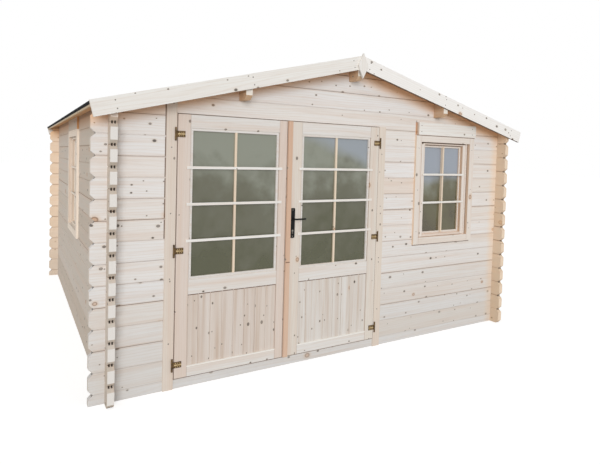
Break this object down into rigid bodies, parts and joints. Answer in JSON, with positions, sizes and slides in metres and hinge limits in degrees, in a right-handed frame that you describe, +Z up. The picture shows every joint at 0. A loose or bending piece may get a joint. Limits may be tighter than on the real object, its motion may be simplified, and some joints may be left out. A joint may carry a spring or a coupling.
{
  "type": "log cabin garden shed with double doors",
  "caption": "Small log cabin shed with interlocking corners, a low gable roof, half-glazed double doors that swing out and small windows.",
  "frame": {"origin": "middle of the plan, at ground level", "axes": "+Z up, +Y from the door front to the back, along the ridge, +X to the right seen from the front"},
  "size_m": [4.058, 4.112, 2.4734],
  "materials": {
    "log_wood": "planed bare softwood",
    "trim_wood": "planed bare softwood",
    "door_wood": "planed bare softwood",
    "tan_strip_wood": "planed bare softwood",
    "bargeboard_wood": "planed bare softwood",
    "roof_board_wood": "planed bare softwood",
    "purlin_wood": "planed bare softwood",
    "floor_wood": "planed bare softwood",
    "roofing_felt": "mineral felt",
    "window_glass": "clear",
    "hinge_brass": "plated",
    "black_metal": "satin black"
  },
  "bodies": {
    "cabin": {"back_bargeboard_left": "bargeboard_wood", "back_bargeboard_right": "bargeboard_wood", "back_wall": "log_wood", "door_head": "trim_wood", "door_jamb_left": "trim_wood", "door_jamb_right": "trim_wood", "door_sill": "trim_wood", "eave_strips": "roof_board_wood", "floor_bearers": "floor_wood", "floor_boards": "floor_wood", "frame_hinges": "hinge_brass", "front_bargeboard_left": "bargeboard_wood", "front_bargeboard_right": "bargeboard_wood", "front_bottom_log": "log_wood", "front_gable": "log_wood", "front_wall_left": "log_wood", "front_wall_right": "log_wood", "front_window_frame": "trim_wood", "front_window_glass": "window_glass", "front_window_header": "trim_wood", "front_window_sash": "trim_wood", "gable_finials": "bargeboard_wood", "left_roof_boards": "roof_board_wood", "left_roof_felt": "roofing_felt", "left_wall": "log_wood", "left_window_frame": "trim_wood", "left_window_glass": "window_glass", "left_window_header": "trim_wood", "left_window_sash": "trim_wood", "ridge_felt": "roofing_felt", "ridge_purlin": "purlin_wood", "right_roof_boards": "roof_board_wood", "right_roof_felt": "roofing_felt", "right_wall": "log_wood", "side_purlins": "purlin_wood"},
    "left_door": {"left_door_frame": "door_wood", "left_door_glass": "window_glass", "left_door_hinges": "hinge_brass", "left_door_panel": "door_wood"},
    "right_door": {"right_door_frame": "door_wood", "right_door_glass": "window_glass", "right_door_hinges": "hinge_brass", "right_door_panel": "door_wood", "door_cover_strip": "tan_strip_wood", "handle_plates": "black_metal"},
    "handle": {"door_handle": "black_metal"}
  },
  "joints": [
    {"name": "left_door_swing", "type": "hinge", "parent": "cabin", "child": "left_door", "pos_m": [-1.466, -1.917, 0.966], "axis": [0, 0, -1], "range_deg": [0, 110]},
    {"name": "right_door_swing", "type": "hinge", "parent": "cabin", "child": "right_door", "pos_m": [0.316, -1.917, 0.966], "axis": [0, 0, 1], "range_deg": [0, 110]},
    {"name": "handle_turn", "type": "hinge", "parent": "right_door", "child": "handle", "pos_m": [-0.536, -1.914, 1.152], "axis": [0, 1, 0], "range_deg": [0, 40], "stiffness_Nm_per_rad": 1, "springref_deg": -28.65}
  ]
}
